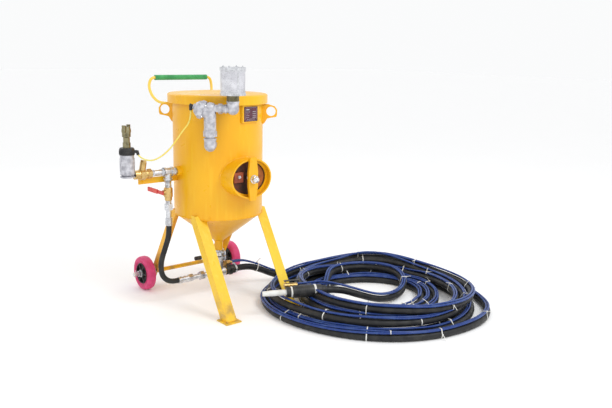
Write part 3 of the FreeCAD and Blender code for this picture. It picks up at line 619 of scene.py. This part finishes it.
def line_route(side):
    """A control line's route: its lead, over the coil's turns, and its tail to the deadman valve."""
    start, beside = side * LINE_START.y, 8 * side
    lead = ((LINE_START.x, start, LINE_START.z), (150, start, LINE_START.z), (222, start, 159),
            (296, beside - 8, 126), (376, beside - 14, 84), (466, beside - 20, 47))
    route = [Vector(p) for p in lead]
    draw = random.Random(11 + side)
    for i, turns in enumerate(coil_steps()):
        lean = 20 * math.sin(1.7 * turns * math.pi + 0.6) + 9 * math.sin(4.3 * turns * math.pi)
        held_down = i % 4 == 1
        bulge = 0 if held_down else draw.uniform(0, 9)
        if 3.9 < turns < 4.9:
            bulge += 30 * hump(coil_azimuth(turns), 50, 16)
        route.append(coil_point(turns) + line_offset(turns, -side, lean, bulge))
    tail = [Vector(p) for p in HOSE_TAIL]
    for i in range(len(tail) - 1):
        way = (tail[i + 1] - tail[max(i - 1, 0)]).normalized()
        level = UP.cross(way).normalized()
        route.append(tail[i] + level * (7 * side) + UP * 30)
    end = deadman_place() + UP * beside
    route.append(NOZZLE_AT + NOZZLE_WAY * 10 + NOZZLE_SIDE * 36 + UP * (32 + beside))
    route.append(end - NOZZLE_WAY * 60)
    route.append(end)
    return route


def deadman_place():
    """Between the two fittings of the deadman valve."""
    return NOZZLE_AT + NOZZLE_WAY * 150 + NOZZLE_SIDE * 48 + UP * 22


def cord_curve(name, route, radius, skin):
    """A round cord: one open NURBS spline whose control points are the route's."""
    data = bpy.data.curves.new(name, "CURVE")
    data.dimensions = "3D"
    spline = data.splines.new("NURBS")
    spline.points.add(len(route) - 1)
    for point, place in zip(spline.points, route):
        point.co = (*at(*place), 1)
    spline.order_u = 3
    spline.use_endpoint_u = True
    spline.resolution_u = 6
    data.bevel_depth = radius * MM
    data.bevel_resolution = 5
    data.use_fill_caps = True
    data.materials.append(SKIN[skin])
    cord = bpy.data.objects.new(name, data)
    bpy.context.collection.objects.link(cord)
    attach(cord, "pot")
    return cord


def centreline(cord):
    """The cord's smooth centreline, in mm from the vessel's axis, read from its own spline."""
    bare = cord.copy()
    bare.data = cord.data.copy()
    bare.data.bevel_depth = 0
    bpy.context.collection.objects.link(bare)
    bpy.context.view_layer.update()
    graph = bpy.context.evaluated_depsgraph_get()
    mesh = bpy.data.meshes.new_from_object(bare.evaluated_get(graph))
    points = np.array([(cord.matrix_world @ v.co - AXIS) / MM for v in mesh.vertices])
    bpy.data.objects.remove(bare)
    return points


def walk(points):
    """Distance along a centreline at each of its points."""
    steps = np.linalg.norm(np.diff(points, axis=0), axis=1)
    return np.concatenate(([0], np.cumsum(steps)))


def spot(points, run, distance):
    """The point and direction at a distance along a centreline."""
    place = Vector([float(np.interp(distance, run, points[:, k])) for k in range(3)])
    ahead = Vector([float(np.interp(distance + 5, run, points[:, k])) for k in range(3)])
    behind = Vector([float(np.interp(distance - 5, run, points[:, k])) for k in range(3)])
    return place, (ahead - behind).normalized()


def nearest(points, place, way):
    """The centreline's point nearest to place in the plane square to way."""
    gap = points - np.array(place)
    score = np.linalg.norm(gap, axis=1) + 4 * np.abs(gap @ np.array(way))
    found = Vector(points[int(np.argmin(score))])
    return found - way * (found - place).dot(way)


def hull_outline(circles, way, proud, count=44):
    """The outline of a band pulled tight round circles that share a plane square to way."""
    side, other = across(way)
    outline = []
    for k in range(count):
        a = 2 * math.pi * k / count
        out = side * math.cos(a) + other * math.sin(a)
        centre, radius = max(circles, key=lambda c: c[0].dot(out) + c[1])
        outline.append(centre + out * (radius + proud))
    return outline


def band(shape, circles, way, width, thick):
    """A flat band round a bundle."""
    inner = hull_outline(circles, way, 0.2)
    outer = hull_outline(circles, way, thick)
    half = way * (width / 2)
    count = len(inner)
    base = len(shape.points)
    for offset, ring in ((-half, inner), (-half, outer), (half, outer), (half, inner)):
        shape.points.extend(p + offset for p in ring)
    for row in range(4):
        a, b = base + row * count, base + ((row + 1) % 4) * count
        for k in range(count):
            n = (k + 1) % count
            shape.faces.append((a + k, a + n, b + n, b + k))
    return outer


def cable_tie(shape, circles, way, draw):
    """A cable tie: its band, its square head and the end that sticks out."""
    outer = band(shape, circles, way, TIE_WIDTH, 1.7)
    pick = draw.choice([k for k in range(len(outer)) if outer[k].z > circles[0][0].z + 4])
    head = outer[pick]
    out = (head - circles[0][0]).normalized()
    shape.bar(head + out * 2, (TIE_WIDTH * 0.62, 4.2, 3.4), way, 0.7)
    along = way.cross(out).normalized() * draw.choice((-1, 1))
    length, lift = draw.uniform(16, 34), draw.uniform(0.3, 1.1)
    rings = []
    for k in range(7):
        s = k / 6
        p = head + out * (3 + length * s * lift * (1 - 0.35 * s)) + along * (length * s)
        thin = out * 0.65
        wide = way * (TIE_WIDTH * 0.36 * (1 - 0.3 * (k == 6)))
        rings.append([p - wide - thin, p + wide - thin, p + wide + thin, p - wide + thin])
    shape.rings(rings)


def make_ties(hose, lines):
    """A tie about every 0.45 m along the bundle, round the hose and the lines that lie near it."""
    run = walk(hose)
    draw = random.Random(5)
    shape = Shape()
    distance = 150.0
    while distance < run[-1] - 260:
        place, way = spot(hose, run, distance)
        circles = [(place, HOSE_R)]
        for line in lines:
            near = nearest(line, place, way)
            if (near - place).length < 60:
                circles.append((near, LINE_R))
        cable_tie(shape, circles, way, draw)
        distance += draw.uniform(360, 520)
    return shape.piece("bundle_ties", "nozzle_white", crease=50)


def make_cords():
    """The blast hose with its two control lines, from the machine to the nozzle."""
    hose = cord_curve("blast_hose", hose_route(), HOSE_R, "hose_rubber")
    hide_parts("blast_hose_runs", "hose_coil")
    left, right = (cord_curve(name, line_route(side), LINE_R, "line_rubber")
                   for name, side in (("control_line_left", -1), ("control_line_right", 1)))
    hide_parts("control_line_runs")
    ties = make_ties(centreline(hose), [centreline(left), centreline(right)])
    ends = [frame["nodes"][n] for n in ("nozzle_holder", "nozzle")] + make_nozzle_details()


def make_fixed_hoses():
    """The hose that pushes abrasive into the tee, and the thin pilot tube to the air valve."""
    route = [Vector(p) for p in ((DROP_X, 0, 461), (DROP_X, 0, 405), (-348, 0, 338), (-377, 0, 264),
                                 (-377, 0, 197), (-354, 0, 158), (-315, 0, BLAST_Z), (-272, 0, BLAST_Z))]
    pusher = cord_curve("pusher_hose_tube", route, PUSHER_R, "hose_rubber")
    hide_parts("pusher_hose")
    # This route's fifth to eighth points came out of a random search for a gentler bend. They weren't
    # chosen by hand, and they don't repeat the CAD's.
    route = [Vector(p) for p in ((-286, -183, 1100), (-286, -183, 1045), (-322, -158, 992),
                                 (-350, -138, 940), (-378, -114, 892), (-421, -91, 852),
                                 (-458, -65, 835), (-498, -39, 849), (-511, -32, 868))]
    pilot = cord_curve("pilot_tube", route, TUBE_R, "yellow_tube")
    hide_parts("control_tube")


# ---------------------------------------------------------------- welds


def spaced(path, step, closed=False):
    """The same path with even, short steps."""
    points = np.array([tuple(p) for p in path] + ([tuple(path[0])] if closed else []))
    run = walk(points)
    count = max(2, int(run[-1] / step))
    places = [run[-1] * k / count for k in range(count if closed else count + 1)]
    return [Vector([float(np.interp(s, run, points[:, k])) for k in range(3)]) for s in places]


def weld(shape, path, radius=3.2, closed=False):
    """A stick-welded bead: overlapping ripples with slightly uneven width."""
    dots = spaced(path, 1.6, closed)
    draw = random.Random(len(dots))
    phase = draw.uniform(0, 6)
    wobble = [1 + 0.16 * math.sin(1.9 * i + phase) + 0.07 * math.sin(0.31 * i) + draw.uniform(-0.04, 0.04)
              for i in range(len(dots))]
    shape.swept(dots, lambda i: radius * wobble[i], 8, closed)


def circle(centre, way, radius, count, sweep=360):
    """Points round a circle square to way, or round a part of one."""
    side, other = across(Vector(way).normalized())
    turns = [math.radians(sweep * k / count) for k in range(count + (sweep < 360))]
    return [Vector(centre) + (side * math.cos(a) + other * math.sin(a)) * radius for a in turns]


def on_vessel(x, z, radius):
    """The point at that x and height on a round wall's front."""
    return Vector((x, -math.sqrt(radius ** 2 - x ** 2), z))


def make_welds():
    """Weld beads round the cone, the hand hole's neck, the legs and the small brackets."""
    seam = Shape()
    weld(seam, circle((0, 0, 502), UP, VESSEL_R - 0.5, 144), 3.4, True)
    weld(seam, circle((0, 0, 325), UP, 25.5, 40), 2.6, True)
    seam.piece("cone_seam_weld", "body_paint")

    neck = Shape()
    ring = []
    for k in range(NECK_STEPS):
        a = 2 * math.pi * k / NECK_STEPS
        ring.append(on_vessel(HAND_W * math.cos(a), HAND_Z + HAND_H * math.sin(a), VESSEL_R + 0.5))
    weld(neck, ring, 4.2, True)
    neck.piece("hand_hole_weld", "body_paint")

    legs = Shape()
    for side in (-1, 1):
        for front in (-1, 1):
            weld(legs, leg_edge(side, front), 3.4)
        weld(legs, leg_foot(side), 2.8, True)
    legs.piece("leg_welds", "body_paint")

    small = Shape()
    for azimuth in (-42, 138):
        for offset in (-1.4, 1.4):
            weld(small, [polar(VESSEL_R + 1, azimuth + offset, z) for z in (1034, 1076, 1118)], 2.8)
    weld(small, circle((-272, 0, INLET_Z), (1, 0, 0), 24, 40), 2.6, True)
    weld(small, [(-200, 28, 699), (-247, 26, 699)], 2.4)
    pad = [on_plate(u, v, VESSEL_R + 3) for u, v in ((-60, -45), (60, -45), (60, 45), (-60, 45))]
    edges = [a.lerp(b, k / 8) for a, b in (pad[:2], pad[2:]) for k in range(9)]
    weld(small, edges, 1.8, True)
    for side in (-1, 1):
        weld(small, circle((side * 163, 180, 1101), (side * -0.2, 0.97, 0.05), 9.5, 30), 2.4, True)
    small.piece("bracket_welds", "body_paint")


def leg_edge(side, front):
    """Where a leg's inner edge meets the shell above the cone."""
    x = side * (LEG_X - 30)
    y = front * math.sqrt(VESSEL_R ** 2 - x ** 2)
    return [Vector((x, y, 503)), Vector((x, y, 512)), Vector((x, y, 519))]


def leg_foot(side):
    """Round the foot of a front leg, on its plate."""
    half = LEG_SIZE / 2
    x, y = side * LEG_X, 4 - FOOT_Y
    return [Vector((x + a * half, y + b * half, 8)) for a, b in ((-1, -1), (1, -1), (1, 1), (-1, 1))]


def on_plate(across_plate, up_plate, radius):
    """A place on the name plate: sideways and up from its middle, at a distance from the axis."""
    turn = math.radians(PLATE_TURN)
    out = Vector((math.sin(turn), -math.cos(turn), 0))
    side = Vector((math.cos(turn), math.sin(turn), 0))
    return out * radius + side * across_plate + UP * (PLATE_Z + up_plate)


# ---------------------------------------------------------------- fasteners and fittings


def exhaust_point(along, into, z):
    """A place in the exhaust group's own directions: along the wall, into the vessel, height."""
    turn = math.radians(EXHAUST_TURN)
    return EXHAUST_AT + Vector((along * math.cos(turn) - into * math.sin(turn),
                                along * math.sin(turn) + into * math.cos(turn), z))


def bonnet_way():
    """The bonnet's direction: away along the wall and tilted up."""
    tilt = math.radians(BONNET_TILT)
    return (exhaust_point(-math.cos(tilt), 0, math.sin(tilt)) - exhaust_point(0, 0, 0)).normalized()


def make_exhaust_details():
    """The exhaust valve's flange bolts, casting rims and bonnet ribs."""
    way = bonnet_way()
    seat = exhaust_point(0, 0, 1088)
    side, other = across(way)
    bolts = Shape()
    for k in range(4):
        a = math.radians(45 + 90 * k)
        spot_at = seat + (side * math.cos(a) + other * math.sin(a)) * 42
        bolts.hex_nut(spot_at + way * 54, way, 11, 6.5)
        bolts.turned(spot_at + way * 60.5, way, ((3.2, 0), (3.2, 5), (2.6, 6)), 14)
        bolts.hex_nut(spot_at + way * 34, -way, 11, 6.5)
    bolts.piece("exhaust_flange_bolts", "zinc")

    cast = Shape()
    for z, radius in ((1000, 32.6), (1030, 31.8)):
        profile = ((radius - 2, 0), (radius, 1.5), (radius, 5), (radius - 2, 6.5))
        cast.turned(exhaust_point(0, 0, z), UP, profile, 40)
    along = exhaust_point(1, 0, 0) - exhaust_point(0, 0, 0)
    for place, direction, radius in ((exhaust_point(78, 0, 1110), along, 24),
                                     (exhaust_point(SILENCER_ALONG, 0, 1142), UP, 33.5),
                                     (exhaust_point(0, 0, 950), UP, 33.5)):
        cast.turned(place, direction, ((radius - 3, 0), (radius, 2), (radius, 7), (radius - 3, 9)), 40)
    rib = Shape()
    for k in range(6):
        a = math.radians(60 * k + 20)
        out = side * math.cos(a) + other * math.sin(a)
        rib.bar(seat + way * 64 + out * 36, (9, 1.6, 5), way - out * 0.55, 0.6)
    rib.piece("bonnet_ribs", "cast_alloy")
    cast.piece("exhaust_casting_rims", "cast_alloy")


def make_silencer_details():
    """The silencer's hoops with its seam, the thread of its neck, and the nuts on its cap."""
    hoops = Shape()
    base = exhaust_point(SILENCER_ALONG, 0, 0)
    for z in (1199, 1299):
        hoops.washer(base + UP * z, UP, 64.6, 62.5, 4)
    hoops.bar(base + polar(63.4, -100, 1249), (0.9, 4, 47), polar(1, -100, 0), 0.4)
    hoops.washer(base + UP * SILENCER_TOP, UP, 66.5, 60.5, 2.2)
    hoops.piece("silencer_hoops", "zinc")
    neck = Shape()
    thread(neck, base + UP * 1149, UP, 32.2, 29, 2.9)
    neck.piece("silencer_neck_thread", "dark_brass")
    screws = Shape()
    for k in range(4):
        place = base + polar(53, 35 + 90 * k, SILENCER_TOP)
        screws.washer(place, UP, 7.5, 3, 1.2)
        screws.hex_nut(place + UP * 1.2, UP, 10, 5)
        screws.turned(place + UP * 6, UP, ((3, 0), (3, 3.4), (2.2, 4.4)), 14)
    screws.piece("silencer_cap_nuts", "zinc")


def thread(shape, place, way, radius, length, pitch=2.3):
    """A pipe thread as a row of rounded ridges."""
    profile = []
    for k in range(int(length / pitch)):
        profile += [(radius - 0.9, k * pitch), (radius, (k + 0.5) * pitch)]
    profile.append((radius - 0.9, int(length / pitch) * pitch))
    shape.turned(place, way, profile, 36)


def make_inlet_details():
    """Threads and beads on the air inlet's fittings, and crimps on the pusher hose's ends."""
    parts = Shape()
    left, down = Vector((-1, 0, 0)), Vector((0, 0, -1))
    for x, length in ((-281, 14), (-351, 14), (-408, 16)):
        thread(parts, (x, 0, INLET_Z), left, 18.4, length)
    for z, radius, length in ((711, 18.4, 14), (688, 18.4, 14), (601, 16.2, 16)):
        thread(parts, (DROP_X, 0, z), down, radius, length)
    parts.piece("pipe_threads", "zinc")

    rims = Shape()
    for place, way in (((-296, 0, INLET_Z), left), ((-343, 0, INLET_Z), left), ((DROP_X, 0, 719), down)):
        rims.turned(place, way, ((22.5, 0), (25.5, 1.5), (25.5, 5.5), (22.5, 7)), 40)
    rims.piece("tee_rims", "zinc")

    ends = Shape()
    crimp = ((18.6, -1.8), (20.2, -0.8), (20.2, 0.8), (18.6, 1.8))
    for z in (466, 474, 482, 490, 497):
        ends.turned((DROP_X, 0, z), UP, crimp, 36)
    for x in (-267, -256, -245, -234, -223, -213):
        ends.turned((x, 0, BLAST_Z), (1, 0, 0), crimp, 36)
    ends.piece("ferrule_crimps", "zinc")


def make_valve_details():
    """Ribs and knurling on the air valve, and the ball valve's lever nut and grip."""
    left = Vector((-1, 0, 0))
    valve = Shape()
    base = Vector((AIR_VALVE_X, 0, 0))
    for k in range(10):
        place = base + polar(36.6, 36 * k + 10, 806)
        valve.bar(place, (1.6, 2.2, 44), polar(1, 36 * k + 10, 0), 0.8)
    valve.turned(base + UP * 748, UP, ((34, 0), (38, 2), (38, 8), (34, 10)), 48)
    valve.piece("air_valve_ribs", "cast_alloy")
    knurl = Shape()
    for k in range(36):
        place = base + polar(39.4, 10 * k, 880)
        knurl.bar(place, (0.9, 1.7, 8.5), polar(1, 10 * k, 0), 0.5)
    knurl.washer(base + UP * 891, UP, 40.2, 37, 3)
    knurl.piece("air_valve_knurl", "black_part")

    lever = Shape()
    lever.hex_nut((-363, 0, BALL_VALVE_Z), left, 11, 5)
    lever.turned((-368, 0, BALL_VALVE_Z), left, ((3.1, 0), (3.1, 3), (2.4, 3.8)), 14)
    for y in range(56, 137, 16):
        lever.bar((-363, y, BALL_VALVE_Z), (5.6, 1.4, 12.4), left, 0.6)
    lever.piece("ball_valve_lever_details", "red_lever", "ball_valve")


def make_bottom_details():
    """The metering valve's bolts and knob, the hose clamp, and the axle's end sleeves and split pins."""
    bolts = Shape()
    for k in range(4):
        place = polar(34.5, 45 + 90 * k, 0)
        bolts.hex_nut(place + UP * 258, UP, 9, 5)
        bolts.hex_nut(place + UP * 212, -UP, 9, 5)
        bolts.turned(place + UP * 207, -UP, ((2.6, 0), (2.6, 4), (2, 4.6)), 12)
    bolts.piece("metering_valve_bolts", "zinc")

    knob = Shape()
    for k in range(12):
        around = (Vector((0, math.cos(k * math.pi / 6), math.sin(k * math.pi / 6)))) * 10.8
        knob.bar(Vector((-131, 16, 236.5)) + around, (15, 0.9, 0.9), (1, 0, 0), 0.3)
    knob.piece("metering_knob_ribs", "black_part", "metering_lever")

    clamp = Shape()
    clamp.washer((104, 0, BLAST_Z), (1, 0, 0), 27.4, 25.6, 11)
    clamp.bar((109.5, 0, 164.5), (5, 9, 4), (1, 0, 0), 1)
    clamp.turned((109.5, 16, 164.5), (0, -1, 0), ((3.4, 0), (3.8, 1), (3.8, 6), (3, 7)), 16)
    clamp.piece("hose_clamp", "zinc")

    sleeves = Shape()
    for side in (-1, 1):
        profile = ((12.9, 0), (12.9, 26), (11, 28.6))
        sleeves.turned((side * 344.3, WHEEL_Y, WHEEL_Z), (side, 0, 0), profile, 30)
    sleeves.piece("axle_end_sleeves", "zinc")

    pins = Shape()
    for side in (-1, 1):
        pin = Vector((side * 361, WHEEL_Y, WHEEL_Z))
        pins.swept([pin + UP * z for z in (-20, -8, 8, 17)], 1.5, 8)
        pins.swept(circle(pin + UP * 20, (side, 0, 0), 4, 20, 330), 1.2, 8)
        pins.swept([pin + Vector((0, y, z)) for y, z in ((0, -20), (6, -23), (12, -21))], 1.1, 8)
    pins.piece("axle_split_pins", "zinc")


def make_wheel_details():
    """Moulded ridges on each tyre and ribs with a hub cap on each rim."""
    for side, name in ((-1, "left"), (1, "right")):
        body = f"{name}_wheel"
        hub = Vector((side * WHEEL_X, WHEEL_Y, WHEEL_Z))
        out = Vector((side, 0, 0))
        tyre = Shape()
        for face in (-1, 1):
            flat = hub + out * (face * 24.6)
            for radius in (72, 88):
                tyre.swept(circle(flat, out, radius, 90), 1.5, 8, True)
        tyre.swept(circle(hub, out, 99.4, 120), 1.3, 8, True)
        tyre.piece(f"{name}_tyre_ridges", "wheel_tyre", body)
        rim = Shape()
        for face in (-1, 1):
            for k in range(6):
                a = math.radians(60 * k)
                way = Vector((0, math.cos(a), math.sin(a)))
                rim.bar(hub + way * 41 + out * (face * 21.5), (17, 2.6, 3.2), way, 1)
            rim.swept(circle(hub + out * (face * 23), out, 59, 72), 2.6, 10, True)
            rim.swept(circle(hub + out * (face * 22.5), out, 24.5, 48), 2.2, 10, True)
        rim.piece(f"{name}_rim_ribs", "wheel_rim", body)


def make_plate_details():
    """Blank fields and a border printed on the name plate, with no lettering."""
    ink = Shape()
    turn = math.radians(PLATE_TURN)
    way = Vector((math.cos(turn), math.sin(turn), 0))

    def field(u, v, half_wide, half_high):
        ink.bar(on_plate(u, v, PLATE_FACE), (half_wide, 0.35, half_high), way, 0.2)

    for v in (-34, 34):
        field(0, v, 44, 0.5)
    for u in (-44, 44):
        field(u, 0, 0.5, 34)
    field(-24, 24, 12, 2.4)
    for row, wide in enumerate((30, 18, 26, 22)):
        v = 12 - row * 10
        field(-38 + wide * 0.5, v, wide * 0.5, 0.8)
        field(24, v, 12, 1.2)
    field(0, -27, 30, 0.7)
    ink.piece("plate_fields", "zinc")


def make_hand_hole_details():
    """Thread on the stud, and a stop block with its bolt on the cover."""
    front = Vector((0, -1, 0))
    parts = Shape()
    thread(parts, (0, -291, HAND_Z), front, 10.4, 30, 2.0)
    parts.piece("stud_thread", "zinc")
    stop = Shape()
    stop.bar((-66, -292, HAND_Z + 8), (30, 7, 28), (1, 0, 0), 2)
    stop.piece("cover_stop", "red_primer")
    bolt = Shape()
    bolt.hex_nut((-66, -299, HAND_Z + 12), front, 17, 8)
    bolt.turned((-66, -307, HAND_Z + 12), front, ((4.6, 0), (4.6, 6), (3.6, 7)), 16)
    bolt.piece("cover_stop_bolt", "zinc")


def make_handle_details():
    """Compressed rings along the foam grip and a collar at each end."""
    grip = Shape()
    lo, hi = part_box("handle_grip")
    middle = ((lo + hi) / 2 - AXIS) / MM
    for k in range(15):
        x = -161 + 23 * k
        grip.swept(circle((x, middle.y, middle.z), (1, 0, 0), 14.6, 40), 0.9, 6, True)
    for side in (-1, 1):
        grip.swept(circle((side * 172, middle.y, middle.z), (1, 0, 0), 13.4, 40), 2.0, 8, True)
    grip.piece("grip_rings", "foam_grip")


def make_nozzle_details():
    """White tape bands round the nozzle's holder, and its ribs."""
    tape = Shape()
    for along, radius, width in ((190, 29.6, 9), (58, 34.2, 11)):
        tape.washer(NOZZLE_AT + NOZZLE_WAY * along, NOZZLE_WAY, radius, radius - 1.4, width)
    wraps = tape.piece("holder_tape", "nozzle_white")
    ribs = Shape()
    for k in range(9):
        ribs.swept(circle(NOZZLE_AT + NOZZLE_WAY * (84 + 11 * k), NOZZLE_WAY, 32.6, 44), 1.5, 8, True)
    for along in (6, 16, 24):
        ribs.swept(circle(NOZZLE_AT + NOZZLE_WAY * along, NOZZLE_WAY, 25.8, 40), 1.3, 8, True)
    grip = ribs.piece("holder_ribs", "black_part")
    return [wraps, grip]


dress_cad()
make_camera()
make_light()
make_floor()
make_cords()
make_fixed_hoses()
make_welds()
make_exhaust_details()
make_silencer_details()
make_inlet_details()
make_valve_details()
make_bottom_details()
make_wheel_details()
make_plate_details()
make_hand_hole_details()
make_handle_details()
